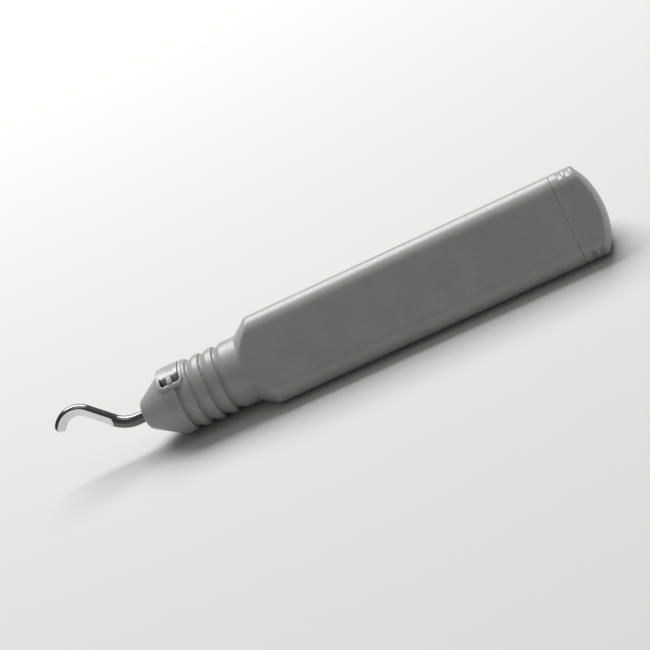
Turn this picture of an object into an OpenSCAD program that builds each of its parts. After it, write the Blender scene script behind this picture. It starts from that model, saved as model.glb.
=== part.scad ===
// Swivel-blade hand deburring tool with a push-button blade holder and two spare blades in the grip.
// The tool lies along X with the blade at -X. The origin is the middle of the grip's underside flat.

/* [Grip] */
// Length of the three-sided grip, from the shoulder to the end cap
grip_len = 88; // [76:1:130]
// Distance from the tool's axis to each flat of the grip
flat_r = 8.85; // [8.4:0.05:11]
// Radius along the grip's three corners
corner_r = 4.8; // [4:0.1:6]
// Thickness of the grip's wall
grip_wall = 2; // [1.4:0.1:2.4]
// Slope of the shoulder between neck and grip
shoulder_angle = 37; // [30:1:50]

/* [Neck] */
// Radius of the round neck and nose
neck_r = 9; // [8.8:0.05:10.8]
// Plain band between the last finger groove and the shoulder
band_len = 6.5; // [5:0.1:10]
// Number of finger grooves
groove_count = 4; // [3:1:5]
// Distance from one finger groove to the next
groove_pitch = 3.85; // [3.4:0.05:4.6]
// Depth of a finger groove
groove_depth = 0.9; // [0.4:0.05:1]
// Length of a groove's slope, behind its steep front wall
groove_run = 2.4; // [1.6:0.1:3]

/* [Nose] */
// Radius of the nose's front face
tip_r = 3.4; // [3.2:0.1:4.2]
// Length of the nose's taper
taper_len = 8.3; // [8:0.1:11]
// Radius of the nose's inside, where the holder block sits
cavity_r = 7.2; // [7:0.05:7.6]

/* [Release button] */
// Length of the button along the tool
button_len = 5.1; // [4.4:0.1:5.4]
// Width of the button across the tool, without its guide ribs
button_w = 7; // [5.8:0.1:7.4]
// How far the button presses in
button_travel = 1.8; // [1.2:0.1:1.8]
// How far the button's crown stands above the nose
button_proud = 0.5; // [0.3:0.05:0.8]
// Width of the raised frame round the button's window
frame_w = 0.9; // [0.6:0.05:1.2]
// How far the raised frame stands above the nose
frame_proud = 0.3; // [0.1:0.05:0.4]

/* [Blade] */
// Radius of the blade's round shank
shank_r = 1.6; // [1.3:0.05:1.6]
// Length of shank inside the holder
shank_in = 15.3; // [14.5:0.1:17]
// Straight shank outside the nose, before the first bend
shank_lead = 2.4; // [1:0.1:6]
// Radius of the first bend
first_bend_r = 8.6; // [6:0.1:14]
// Angle of the first bend
first_bend = 43; // [30:1:50]
// Straight length of the cutting edge
edge_len = 7.6; // [5:0.1:8]
// Radius of the hooked end
hook_r = 5.3; // [4.5:0.1:6]
// Angle of the hooked end
hook_bend = 98; // [70:1:110]
// Swivel angle of the fitted blade at rest, from straight up
blade_turn = -20; // [-180:5:180]

/* [End cap and store] */
// Length of the end cap
cap_len = 10; // [8:0.5:16]
// Radius of the cap's domed end
cap_dome_r = 24; // [18:1:60]
// Length of the blade carrier inside the grip
carrier_len = 14; // [13:0.5:18]
// Depth of the carrier's sockets for the spare blades
socket_depth = 10; // [8:0.5:11]

/* [Fits] */
// Radial clearance of a piece that turns or slides in a bore
running_gap = 0.05; // [0.02:0.01:0.09]
// Clearance between moulded pieces that are pushed together
moulded_gap = 0.03; // [0.01:0.01:0.05]
// Clearance round the button and the blade carrier, which slide in moulded openings
guide_gap = 0.15; // [0.08:0.01:0.2]

/* [Hidden] */
$fn = 64;
eps = 0.01;
corner_steps = 12;

// Stations along the tool, measured from the nose's front face towards the end cap.
window_t = 11.1;
first_groove_t = 11.5;
last_groove_t = first_groove_t + (groove_count - 1) * groove_pitch;
seam_t = last_groove_t + 0.2;
shoulder_t = seam_t + band_len;
corner_reach = 2 * (flat_r - corner_r) + corner_r;
shoulder_len = (corner_reach - neck_r) / tan(shoulder_angle);
grip_end_t = shoulder_t + grip_len;
origin_t = (shoulder_t + shoulder_len + grip_end_t) / 2;

// Nose outline and cavity.
tip_bevel_len = 0.4;
tip_bevel_r = tip_r + 0.6;
flange_lip = 0.6;
window_len = button_len + 2 * guide_gap;
seat_half = window_len / 2 + flange_lip + guide_gap;
cavity_t = window_t - seat_half;
boss_t = 3.5;
boss_r = 4;

// Holder block, which fills the nose's cavity up to the handle's spigot.
block_t = window_t + 5.4;
block_tail_len = 3;
block_tail_r = 4.5;
block_r = cavity_r - moulded_gap;
bore_r = shank_r + running_gap;
bush_r = bore_r + 0.55;
bush_end_t = window_t - 1.1;
bush_collar_r = bush_r + 0.8;
bush_collar_len = 1;
bush_proud = 0.4;
block_flat_z = bush_r + 0.5;

// Blade shank and the clip that holds its groove.
shank_groove_r = shank_r - 0.55;
shank_groove_w = 1.1;
shank_chamfer = 0.3;
lap = 0.04;
step = 0.01;
clip_wire_r = 0.4;
clip_leg_y = shank_groove_r + running_gap + clip_wire_r;
clip_bend_z = -2.6;
clip_slot_w = 2 * clip_wire_r + 0.2;
clip_slot_half = 3.5;
clip_top_z = block_flat_z + 1.7;

// Thrust ball behind the shank.
ball_r = 1.5;
ball_gap = 0.02;
ball_t = shank_in + ball_gap + ball_r;

// Button, wedge and springs.
rib_w = 1.3;
rib_reach = 1.65;
window_w = button_w + 2 * rib_reach + 2 * guide_gap;
window_corner_r = 0.8;
flange_t = 0.8;
flange_half = button_w / 2 + 0.4;
flange_top_z = sqrt(cavity_r * cavity_r - flange_half * flange_half) - 0.1;
flange_z = flange_top_z - flange_t;
button_crown_r = neck_r + button_proud;
pocket_z = flange_z + button_travel;
wedge_t = 0.9;
wedge_tip_z = shank_r + button_travel + 0.2;
wedge_spread = shank_r + 1.5;
wedge_root = 1.2;
spring_at = window_len / 2 - 0.95;
spring_r = 0.75;
spring_wire_r = 0.15;
spring_turns = 5;
spring_seat_z = block_flat_z - 0.4;
spring_pocket_r = spring_r + spring_wire_r + 0.1;
spring_steps = 12;
spring_sides = 6;

// Spigot that joins handle and nose, and its snap ring.
spigot_r = cavity_r - moulded_gap;
spigot_bore_r = 5.2;
key_w = 1.6;
key_h = 0.7;
key_len = 2.4;
ring_t = seam_t - 1.35;
ring_wire_r = 0.45;
ring_groove_r = ring_wire_r + moulded_gap;
ring_gap_angle = 50;
front_bore_end_t = shoulder_t + 3;

// Blade store inside the grip.
store_r = flat_r - grip_wall;
store_corner_r = corner_r - grip_wall;
store_t = shoulder_t + shoulder_len + 1;

// Carrier, its rubber ring and the spare blades.
carrier_gap = 0.1;
carrier_r = store_r - carrier_gap;
carrier_corner_r = store_corner_r - carrier_gap;
carrier_t = grip_end_t - carrier_len;
stub_inset = 1.8;
stub_len = cap_len - 4;
seal_gap = 0.02;
seal_w = 1.6;
seal_depth = 1.2;
seal_bevel = 0.3;
seal_t = grip_end_t - 2.4;
socket_gap = 0.02;
socket_r = shank_r + socket_gap;
socket_wall = 0.75;
spare_spacing = 2 * shank_r + 0.6;
spare_low_z = -carrier_r + socket_wall + socket_r;
spare_high_z = spare_low_z + spare_spacing;
spare_y = 4.9;
spare_end_t = carrier_t + socket_depth;

// Cap details.
cap_edge_bevel = 0.4;
dome_angle = asin((corner_reach + 1) / cap_dome_r);
dome_steps = 5;
cap_groove_depth = 0.5;
cap_groove_w = 1.1;
cap_groove_pitch = 2;

// Turns a shape that stands on Z so that it points along the tool, and puts it at station t.
module at(t) {
    translate([t - origin_t, 0, flat_r]) rotate([90, 0, 90]) children();
}

// Shape of revolution about the tool's axis, from points [radius, station].
module turned(points) {
    at(0) rotate_extrude() polygon(points);
}

// Plain round bar or bore on the tool's axis, from station t.
module bar(t, r, len) {
    at(t) cylinder(r = r, h = len);
}

// Triangle with round corners: r is the distance from its centre to each side.
module triangle(r, corner) {
    polygon([for (i = [0:2]) for (s = [0:corner_steps])
        let (
            middle = 90 + 120 * i,
            turn = middle - 60 + 120 * s / corner_steps,
            reach = 2 * (r - corner)
        ) [
            reach * cos(middle) + corner * cos(turn),
            reach * sin(middle) + corner * sin(turn),
        ]]);
}

// Prism with a rounded triangle for its section.
module prism(t, r, corner, len) {
    at(t) linear_extrude(len) triangle(r, corner);
}

// One finger groove at station t: a steep front wall, a round floor and a long slope.
module finger_groove(t) {
    floor_r = neck_r - groove_depth;
    turned([
        [neck_r + 1, t - 0.15],
        [neck_r, t],
        [floor_r, t + 0.2],
        [floor_r, t + 0.6],
        [neck_r, t + groove_run],
        [neck_r + 1, t + groove_run + 0.8],
    ]);
}

// Rectangle with round corners, centred.
module rounded_rectangle(len, w, r) {
    square([len - 2 * r, w], center = true);
    square([len, w - 2 * r], center = true);
    for (x = [-1, 1], y = [-1, 1]) translate([x * (len / 2 - r), y * (w / 2 - r)]) circle(r = r);
}

// Puts a plan drawn on the XY plane at the button's station, at height z above the tool's axis.
module over_window(z) {
    translate([window_t - origin_t, 0, flat_r + z]) children();
}

// Moulded handle: spigot, neck, shoulder and three-sided grip, bored from both ends.
module handle_body() {
    color("dimgray") difference() {
        union() {
            bar(block_t, spigot_r, seam_t - block_t + eps);
            bar(seam_t, neck_r, band_len + eps);
            intersection() {
                prism(shoulder_t, flat_r, corner_r, grip_len);
                turned([
                    [0, shoulder_t],
                    [neck_r, shoulder_t],
                    [corner_reach + 1, shoulder_t + shoulder_len + 1 / tan(shoulder_angle)],
                    [corner_reach + 1, grip_end_t],
                    [0, grip_end_t],
                ]);
            }
            spigot_key(0);
        }
        finger_groove(last_groove_t);
        bar(block_t - eps, spigot_bore_r, front_bore_end_t - block_t + eps);
        prism(store_t, store_r, store_corner_r, grip_end_t - store_t + eps);
        ring_channel();
    }
}

// Key under the spigot, which lines the button up with the grip's top corner.
module spigot_key(gap) {
    translate([block_t - origin_t, -key_w / 2 - gap, flat_r - spigot_r - key_h - gap])
        cube([key_len + gap, key_w + 2 * gap, key_h + 1 + gap]);
}

// Channel that the snap ring sits in, half in the spigot and half in the nose.
module ring_channel() {
    at(ring_t) rotate_extrude() translate([cavity_r, 0]) circle(r = ring_groove_r);
}

// Raised frame round the button's window, which bridges the first finger groove.
module window_frame() {
    frame_len = window_len + 2 * frame_w;
    intersection() {
        over_window(block_flat_z) linear_extrude(neck_r)
            rounded_rectangle(frame_len, window_w + 2 * frame_w, window_corner_r + frame_w);
        bar(window_t - frame_len / 2 - 1, neck_r + frame_proud, frame_len + 2);
    }
}

// Nose: tapered shell with finger grooves and the window for the release button.
module nose_cone() {
    color("dimgray") difference() {
        union() {
            difference() {
                turned([
                    [0, 0],
                    [tip_r, 0],
                    [tip_bevel_r, tip_bevel_len],
                    [neck_r, taper_len],
                    [neck_r, seam_t],
                    [0, seam_t],
                ]);
                for (i = [0:groove_count - 1]) finger_groove(first_groove_t + i * groove_pitch);
            }
            window_frame();
        }
        bar(-eps, bush_r + moulded_gap, boss_t + 2 * eps);
        bar(boss_t, boss_r + moulded_gap, cavity_t - boss_t + eps);
        bar(cavity_t, cavity_r, seam_t - cavity_t + eps);
        over_window(0) linear_extrude(neck_r + 1) rounded_rectangle(window_len, window_w, window_corner_r);
        spigot_key(moulded_gap);
        ring_channel();
    }
}

// Split wire ring that snaps the nose to the handle's spigot.
module nose_ring() {
    color("silver") at(ring_t) rotate(-90 + ring_gap_angle / 2)
        rotate_extrude(angle = 360 - ring_gap_angle) translate([cavity_r, 0]) circle(r = ring_wire_r);
}

// Holder block: carries the bush, the clip's slot, the button's seat and the ball's pocket.
module holder_block() {
    color("gray") difference() {
        union() {
            bar(boss_t, boss_r, cavity_t - boss_t + eps);
            bar(cavity_t, block_r, block_t - cavity_t);
            bar(block_t - eps, block_tail_r, block_tail_len + eps);
        }
        bar(boss_t - eps, bush_r, bush_end_t - boss_t + eps);
        bar(boss_t - eps, bush_collar_r, bush_collar_len + eps);
        bar(bush_end_t - eps, bore_r, shank_in - bush_end_t + ball_gap + eps);
        bar(shank_in, ball_r + ball_gap, ball_r + ball_gap);
        at(ball_t) sphere(r = ball_r + ball_gap);
        button_seat();
        over_window(clip_bend_z - clip_leg_y - clip_wire_r - 0.2)
            translate([-clip_slot_w / 2, -clip_slot_half, 0]) cube([clip_slot_w, 2 * clip_slot_half, 2 * cavity_r]);
        for (side = [-1, 1]) over_window(spring_seat_z)
            translate([side * spring_at, 0, 0]) cylinder(r = spring_pocket_r, h = cavity_r);
    }
}

// Room above the holder block's flat, where the button's flange travels.
module button_seat() {
    over_window(block_flat_z) translate([-seat_half, -cavity_r, 0]) cube([2 * seat_half, 2 * cavity_r, cavity_r]);
}

// Steel guide bush that the blade's shank turns in.
module guide_bush() {
    color("silver") turned([
        [bore_r, -bush_proud],
        [bush_r - 0.3, -bush_proud],
        [bush_r, 0.3 - bush_proud],
        [bush_r, boss_t],
        [bush_collar_r - moulded_gap, boss_t],
        [bush_collar_r - moulded_gap, boss_t + bush_collar_len],
        [bush_r, boss_t + bush_collar_len],
        [bush_r, bush_end_t],
        [bore_r, bush_end_t],
    ]);
}

// Spring-steel clip whose two legs sit in the groove of the blade's shank.
module retaining_clip() {
    color("silver") {
        for (side = [-1, 1]) over_window(clip_bend_z)
            translate([0, side * clip_leg_y, 0]) cylinder(r = clip_wire_r, h = clip_top_z - clip_bend_z);
        over_window(clip_bend_z) rotate([90, 0, 90]) rotate([0, 0, 180])
            rotate_extrude(angle = 180) translate([clip_leg_y, 0]) circle(r = clip_wire_r);
    }
}

// Plan of the button's stem, with a guide rib in the middle of each long side.
module button_plan() {
    rounded_rectangle(button_len, button_w, window_corner_r);
    square([rib_w, button_w + 2 * rib_reach], center = true);
}

// Push button: stem, guide ribs and the flange that keeps it inside the nose.
module release_button() {
    color("darkslategray") difference() {
        union() {
            intersection() {
                over_window(flange_z) linear_extrude(button_crown_r) button_plan();
                bar(0, button_crown_r, 2 * window_t);
            }
            intersection() {
                over_window(flange_z) linear_extrude(flange_t)
                    square([window_len + 2 * flange_lip, 2 * flange_half], center = true);
                bar(0, cavity_r - 0.08, 2 * window_t);
            }
        }
        over_window(flange_z - eps) translate([-clip_slot_w / 2, -clip_slot_half, 0])
            cube([clip_slot_w, 2 * clip_slot_half, button_travel + eps]);
        over_window(pocket_z - eps) translate([-wedge_t / 2, -wedge_spread, 0])
            cube([wedge_t, 2 * wedge_spread, wedge_root + eps]);
        for (side = [-1, 1]) over_window(flange_z - eps)
            translate([side * spring_at, 0, 0]) cylinder(r = spring_pocket_r, h = button_travel + eps);
    }
}

// Steel wedge in the button, which spreads the clip's legs out of the shank's groove.
module release_wedge() {
    outline = [
        [shank_groove_r - 0.15, wedge_tip_z],
        [shank_groove_r, clip_top_z],
        [wedge_spread, pocket_z],
        [wedge_spread, pocket_z + wedge_root],
    ];
    mirrored = [for (i = [len(outline) - 1:-1:0]) [-outline[i][0], outline[i][1]]];
    color("silver") over_window(0) rotate([90, 0, 90]) translate([0, 0, -wedge_t / 2])
        linear_extrude(wedge_t) polygon(concat(outline, mirrored));
}

// One ring of points round the spring's wire, at step i of its helix.
function spring_section(i, height) =
    let (turn = 360 * i / spring_steps, z = height * i / (spring_steps * spring_turns))
    [for (s = [0:spring_sides - 1])
        let (a = 360 * s / spring_sides, r = spring_r + spring_wire_r * cos(a))
        [r * cos(turn), r * sin(turn), z + spring_wire_r * sin(a)]];

// Coil spring standing on Z.
module coil_spring(height) {
    steps = spring_steps * spring_turns;
    points = [for (i = [0:steps]) for (p = spring_section(i, height - 2 * spring_wire_r)) p];
    sides = [for (i = [0:steps - 1]) for (s = [0:spring_sides - 1])
        let (a = i * spring_sides, b = a + spring_sides, n = (s + 1) % spring_sides)
        [a + s, b + s, b + n, a + n]];
    start = [for (s = [0:spring_sides - 1]) s];
    end = [for (s = [spring_sides - 1:-1:0]) steps * spring_sides + s];
    translate([0, 0, spring_wire_r]) polyhedron(points, concat([start], sides, [end]), convexity = 10);
}

// The two springs that return the button.
module button_springs() {
    color("silver") for (side = [-1, 1]) over_window(spring_seat_z)
        translate([side * spring_at, 0, 0]) coil_spring(pocket_z - spring_seat_z);
}

// Hardened ball that takes the push on the end of the blade's shank.
module thrust_ball() {
    color("silver") at(ball_t) sphere(r = ball_r);
}

// Section of the cutting edge: a round bar ground to a sharp edge on its -X side.
module edge_section(r) {
    intersection() {
        circle(r = r);
        polygon([[-0.95 * r, 0], [0.35 * r, r], [2 * r, r], [2 * r, -r], [0.35 * r, -r]]);
    }
}

// S-shaped blade in its own plane: the shank lies along X and points to +X, and the bends turn towards +Y.
module blade_shape() {
    groove_x = -window_t;
    rotate([90, 0, 90]) rotate_extrude() polygon([
        [0, -shank_in],
        [shank_r - shank_chamfer, -shank_in],
        [shank_r, -shank_in + shank_chamfer],
        [shank_r, groove_x - shank_groove_w / 2],
        [shank_groove_r, groove_x - shank_groove_w / 2],
        [shank_groove_r, groove_x + shank_groove_w / 2],
        [shank_r, groove_x + shank_groove_w / 2],
        [shank_r, shank_lead],
        [0, shank_lead],
    ]);
    translate([shank_lead - lap, first_bend_r, 0]) rotate([0, 0, -90])
        rotate_extrude(angle = first_bend) translate([first_bend_r, 0]) circle(r = shank_r - step);
    translate([
        shank_lead - lap + first_bend_r * sin(first_bend),
        first_bend_r * (1 - cos(first_bend)),
        0,
    ]) rotate([0, 0, first_bend]) translate([-lap, 0, 0]) cutting_edge();
}

// Ground part of the blade: straight edge, hook and round tip, starting along +X.
module cutting_edge() {
    hook_x = edge_len - lap;
    rotate([90, 0, 90]) linear_extrude(edge_len) edge_section(shank_r - 2 * step);
    translate([hook_x, -hook_r, 0]) rotate([0, 0, 90 - hook_bend])
        rotate_extrude(angle = hook_bend) translate([hook_r, 0]) edge_section(shank_r - 3 * step);
    translate([hook_x + hook_r * sin(hook_bend), -hook_r * (1 - cos(hook_bend)), 0])
        rotate([0, 0, -hook_bend]) intersection() {
            translate([-lap, 0, 0]) rotate([90, 0, 90]) linear_extrude(shank_r)
                edge_section(shank_r - 4 * step);
            sphere(r = 1.1 * shank_r);
        }
}

// Blade with its shank's end at station end_t, at [y, z] from the tool's axis, bends turned by turn from straight up.
module placed_blade(end_t, y, z, turn) {
    translate([end_t - shank_in - origin_t, y, flat_r + z]) rotate([turn, 0, 0])
        rotate([90, 0, 180]) blade_shape();
}

// Blade fitted in the holder.
module blade() {
    color("silver") placed_blade(shank_in, 0, 0, blade_turn);
}

// Point [radius, station] of the cap's domed end, at an angle from the tool's axis.
function dome_point(angle) =
    [cap_dome_r * sin(angle), grip_end_t + cap_len - cap_dome_r * (1 - cos(angle))];

// End cap with a domed end and grip grooves on its corners.
module end_cap() {
    color("dimgray") difference() {
        intersection() {
            prism(grip_end_t, flat_r, corner_r, cap_len);
            turned(concat(
                [[0, grip_end_t - 1], [corner_reach - cap_edge_bevel - 1, grip_end_t - 1]],
                [[corner_reach + 1, grip_end_t + cap_edge_bevel + 1]],
                [for (i = [dome_steps:-1:0]) dome_point(dome_angle * i / dome_steps)]
            ));
        }
        prism(
            grip_end_t - eps,
            carrier_r - stub_inset + moulded_gap,
            carrier_corner_r + moulded_gap,
            stub_len + moulded_gap + eps
        );
        for (i = [1:2]) at(grip_end_t + i * cap_groove_pitch) difference() {
            cylinder(r = corner_reach + 1, h = cap_groove_w);
            translate([0, 0, -eps]) cylinder(r = corner_reach - cap_groove_depth, h = cap_groove_w + 2 * eps);
        }
    }
}

// Plug that closes the blade store, with a socket for each spare blade's shank.
module blade_carrier() {
    color("gray") difference() {
        union() {
            prism(carrier_t, carrier_r, carrier_corner_r, carrier_len);
            prism(grip_end_t - eps, carrier_r - stub_inset, carrier_corner_r, stub_len + eps);
        }
        at(seal_t - seal_w / 2 - seal_gap) linear_extrude(seal_w + 2 * seal_gap) difference() {
            triangle(carrier_r + 1, carrier_corner_r + 1);
            triangle(carrier_r - seal_depth, carrier_corner_r - seal_depth);
        }
        for (spare = [[-spare_y, spare_low_z], [spare_y, spare_high_z]])
            translate([0, spare[0], spare[1]]) bar(carrier_t - eps, socket_r, socket_depth + eps);
    }
}

// Band of the rubber ring: reach is how far it stands out from the carrier's side, w its width.
module ring_band(reach, w) {
    at(seal_t - w / 2) linear_extrude(w) difference() {
        triangle(carrier_r + reach, carrier_corner_r + reach);
        triangle(carrier_r - seal_depth + seal_gap, carrier_corner_r - seal_depth + seal_gap);
    }
}

// Rubber ring round the carrier, whose friction holds the cap in the grip.
module cap_ring() {
    color("black") {
        ring_band(-seal_bevel, seal_w);
        ring_band(carrier_gap - seal_gap, seal_w - 2 * seal_bevel);
    }
}

// Spare blade low in the store, bends towards +Y.
module spare_blade_1() {
    color("silver") placed_blade(spare_end_t, -spare_y, spare_low_z, -90);
}

// Spare blade above it, bends towards -Y.
module spare_blade_2() {
    color("silver") placed_blade(spare_end_t, spare_y, spare_high_z, 90);
}

handle_body();
nose_cone();
nose_ring();
holder_block();
guide_bush();
retaining_clip();
release_button();
release_wedge();
button_springs();
thrust_ball();
blade();
end_cap();
blade_carrier();
cap_ring();
spare_blade_1();
spare_blade_2();
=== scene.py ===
"""Studio scene of a hand deburring tool with a swivel blade.

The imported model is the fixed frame. Each sub-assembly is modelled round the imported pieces' own
places, gets procedural finishes, and rides on the body that carries it. Lengths are in millimetres,
measured along the tool from the nose's front face (a station) and out from the tool's axis. Meshes
and lights are in metres.
"""

from __future__ import annotations

import logging
import math
from dataclasses import dataclass
from enum import Enum

import bmesh
import bpy
import numpy as np
from mathutils import Matrix, Vector

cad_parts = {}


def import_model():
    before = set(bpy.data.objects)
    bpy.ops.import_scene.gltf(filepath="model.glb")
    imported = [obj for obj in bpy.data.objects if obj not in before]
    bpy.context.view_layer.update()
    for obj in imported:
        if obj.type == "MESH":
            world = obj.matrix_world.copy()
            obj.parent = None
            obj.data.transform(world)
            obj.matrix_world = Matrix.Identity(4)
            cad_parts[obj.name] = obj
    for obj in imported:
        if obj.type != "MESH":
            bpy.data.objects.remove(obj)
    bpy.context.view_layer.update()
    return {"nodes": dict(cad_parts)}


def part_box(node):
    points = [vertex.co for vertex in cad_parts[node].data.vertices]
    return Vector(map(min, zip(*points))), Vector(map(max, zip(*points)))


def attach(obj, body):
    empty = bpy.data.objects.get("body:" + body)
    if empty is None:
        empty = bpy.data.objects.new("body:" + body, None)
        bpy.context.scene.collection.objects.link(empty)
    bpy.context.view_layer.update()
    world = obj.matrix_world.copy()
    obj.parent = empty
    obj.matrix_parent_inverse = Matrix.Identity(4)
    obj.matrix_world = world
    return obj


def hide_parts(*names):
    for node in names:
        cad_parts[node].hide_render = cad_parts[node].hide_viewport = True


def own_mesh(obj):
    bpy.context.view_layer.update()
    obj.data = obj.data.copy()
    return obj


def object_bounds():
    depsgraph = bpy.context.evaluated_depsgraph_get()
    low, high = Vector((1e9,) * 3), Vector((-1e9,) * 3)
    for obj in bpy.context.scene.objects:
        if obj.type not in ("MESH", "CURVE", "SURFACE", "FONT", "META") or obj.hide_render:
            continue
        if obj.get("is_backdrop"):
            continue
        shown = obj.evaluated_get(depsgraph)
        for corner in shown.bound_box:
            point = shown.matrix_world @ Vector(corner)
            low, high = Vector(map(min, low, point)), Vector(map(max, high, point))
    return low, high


LOG = logging.getLogger("deburring_tool")
MM = 0.001
MERGE = 0.002 * MM
TINY = 1e-6
QUARTER = math.pi / 2
# Where the two stored blades' shanks lie: across the tool, and above its axis.
SPARE_PLACES = ((-4.9, -4.38), (4.9, -0.58))

Array = np.ndarray
Material, Piece = bpy.types.Material, bpy.types.Object
Outputs, Socket = bpy.types.NodeOutputs, bpy.types.NodeSocket
Place = tuple[float, float, float]
Colour = tuple[float, float, float]
Profile = list[tuple[float, float]]


# Sections and profiles


def turn(columns: int) -> Array:
    """Angles round the tool's axis, the last repeating the first."""
    return np.linspace(0.0, 2 * math.pi, columns + 1)


def smooth_step(value: float) -> float:
    """Eases a value that is first held between 0 and 1."""
    share = float(np.clip(value, 0.0, 1.0))
    return share * share * (3 - 2 * share)


def triangle(angles: Array, flat: float, corner: float) -> Array:
    """Radius of a round-cornered triangle that stands on one side.

    Args:
        angles: Angles round the axis, from +Y towards +Z.
        flat: Distance from the axis to each side.
        corner: Radius of the corners.

    Returns:
        The radius at each angle.
    """
    third = 2 * math.pi / 3
    away = np.abs((angles - QUARTER + third / 2) % third - third / 2)
    reach = 2 * (flat - corner)
    arc_end = math.atan2(corner * math.sin(third / 2), reach + corner * math.cos(third / 2))
    bend = corner**2 - (reach * np.sin(np.minimum(away, arc_end))) ** 2
    on_arc = reach * np.cos(away) + np.sqrt(np.maximum(bend, 0.0))
    on_side = flat / np.cos(third / 2 - away)
    return np.where(away <= arc_end, on_arc, on_side)


def ring(angles: Array, station: float | Array, radius: float | Array) -> Array:
    """One ring of (station, y, z) points round the tool's axis, an array (columns, 3)."""
    stations = np.broadcast_to(station, angles.shape)
    return np.stack([stations, radius * np.cos(angles), radius * np.sin(angles)], axis=-1)


def soft_min(one: float | Array, other: Array, blend: float) -> Array:
    """The smaller of two radii, with the crease between them rounded over a blend width."""
    share = np.clip(0.5 + 0.5 * (other - one) / blend, 0.0, 1.0)
    return other + (one - other) * share - blend * share * (1.0 - share)


def rounded_profile(corners: list[Place], steps: int = 5) -> Profile:
    """Rounds the corners of a profile.

    Args:
        corners: (station, radius, rounding) of each corner in turn.
        steps: Points on each rounding.

    Returns:
        The profile's points as (station, radius).
    """
    most = 0.48  # Share of its shorter neighbouring side that a rounding may take.
    points = [corners[0][:2]]
    for before, here, after in zip(corners, corners[1:], corners[2:]):
        middle = np.array(here[:2])
        back, ahead = np.array(before[:2]) - middle, np.array(after[:2]) - middle
        back_len, ahead_len = np.linalg.norm(back), np.linalg.norm(ahead)
        reach = min(here[2], most * min(back_len, ahead_len))
        if reach < TINY:
            points.append(here[:2])
            continue
        start, end = middle + back / back_len * reach, middle + ahead / ahead_len * reach
        for share in np.linspace(0.0, 1.0, steps):
            rest = 1 - share
            spot = rest**2 * start + 2 * share * rest * middle + share**2 * end
            points.append((float(spot[0]), float(spot[1])))
    return [*points, corners[-1][:2]]


def divided(points: Profile, longest: float) -> Profile:
    """Divides a profile's long stretches.

    Args:
        points: The profile's points.
        longest: Longest stretch allowed between two points.

    Returns:
        The profile with points added.
    """
    result = [points[0]]
    for one, other in zip(points, points[1:]):
        count = max(1, math.ceil(math.dist(one, other) / longest))
        for step in range(1, count + 1):
            result.append(tuple(a + (b - a) * step / count for a, b in zip(one, other)))
    return result


class Layout:
    """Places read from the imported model, as stations and as distances from the tool's axis."""

    def __init__(self) -> None:
        """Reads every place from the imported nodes' boxes."""
        nose, handle, cap = (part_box(node) for node in ("nose_cone", "handle_body", "end_cap"))
        bush, carrier, button = (
            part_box(node) for node in ("guide_bush", "blade_carrier", "release_button")
        )
        # The nose's front face and the height of the axis, in metres.
        self.nose_x = nose[0].x
        self.axis_z = (bush[0].z + bush[1].z) / 2
        # Distances to a flat of the grip, the outside of a corner, the neck and the button's top.
        self.flat_r = (self.axis_z - cap[0].z) / MM
        self.corner_reach = (handle[1].z - self.axis_z) / MM
        self.neck_r = nose[1].y / MM
        self.button_top = (button[1].z - self.axis_z) / MM
        # Stations of the nose's rear face, the spigot's front end, the handle's and the cap's
        # rear ends, and the blade carrier's front end.
        ends = (nose[1].x, handle[0].x, handle[1].x, cap[1].x, carrier[0].x)
        self.seam, self.spigot_at, self.grip_end, self.cap_end, self.carrier_at = (
            (x - self.nose_x) / MM for x in ends
        )

    @property
    def corner_r(self) -> float:
        """Radius along the grip's corners."""
        return 2 * self.flat_r - self.corner_reach

    def place(self, points: Array) -> Array:
        """Turns (station, y, z) in millimetres into row coordinates in metres."""
        return points * MM + np.array([self.nose_x, 0.0, self.axis_z])

    def side_ring(self, angles: Array, station: float | Array, inset: float) -> Array:
        """One ring of the grip's section, set in from its outside by some millimetres."""
        return ring(angles, station, triangle(angles, self.flat_r - inset, self.corner_r - inset))


# Modelling helpers


class Join(Enum):
    """How a Boolean modifier joins a second solid to a piece."""

    ADD = "UNION"
    CUT = "DIFFERENCE"
    KEEP = "INTERSECT"


class Way(Enum):
    """Which way a rod runs: its direction, and the turn that lays an upright cylinder along it."""

    ALONG = ((1, 0, 0), (0.0, QUARTER, 0.0))
    ACROSS = ((0, 1, 0), (0.0, QUARTER, QUARTER))
    UP = ((0, 0, 1), (0.0, 0.0, 0.0))


def deselect() -> None:
    """Leaves edit mode and deselects every object."""
    if bpy.context.object and bpy.context.object.mode != "OBJECT":
        bpy.ops.object.mode_set(mode="OBJECT")
    bpy.ops.object.select_all(action="DESELECT")


def take(piece: Piece) -> None:
    """Makes one object the only selected and active one.

    Args:
        piece: The object.
    """
    deselect()
    piece.select_set(True)
    bpy.context.view_layer.objects.active = piece


def name_piece(name: str) -> Piece:
    """Names the active object and its mesh, and applies its place, turn and size.

    Args:
        name: The piece's name.

    Returns:
        The active object.
    """
    piece = bpy.context.active_object
    piece.name = piece.data.name = name
    bpy.ops.object.transform_apply(location=True, rotation=True, scale=True)
    return piece


def store_mark(mesh: bpy.types.Mesh, mark: str, values: Array) -> None:
    """Stores one number for each point of a mesh under a name."""
    layer = mesh.attributes.new(mark, "FLOAT", "POINT")
    layer.data.foreach_set("value", values.astype(np.float32))


def join(piece: Piece, other: Piece, how: Join) -> None:
    """Joins a second solid to a piece, applies the result and removes the second solid.

    Args:
        piece: The piece that is kept.
        other: The solid that is used up.
        how: Whether it adds, cuts or keeps what both hold.
    """
    take(piece)
    boolean = piece.modifiers.new("join", "BOOLEAN")
    boolean.operation = how.value
    boolean.solver = "EXACT"
    boolean.object = other
    bpy.ops.object.modifier_apply(modifier=boolean.name)
    bpy.data.objects.remove(other)


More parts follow.
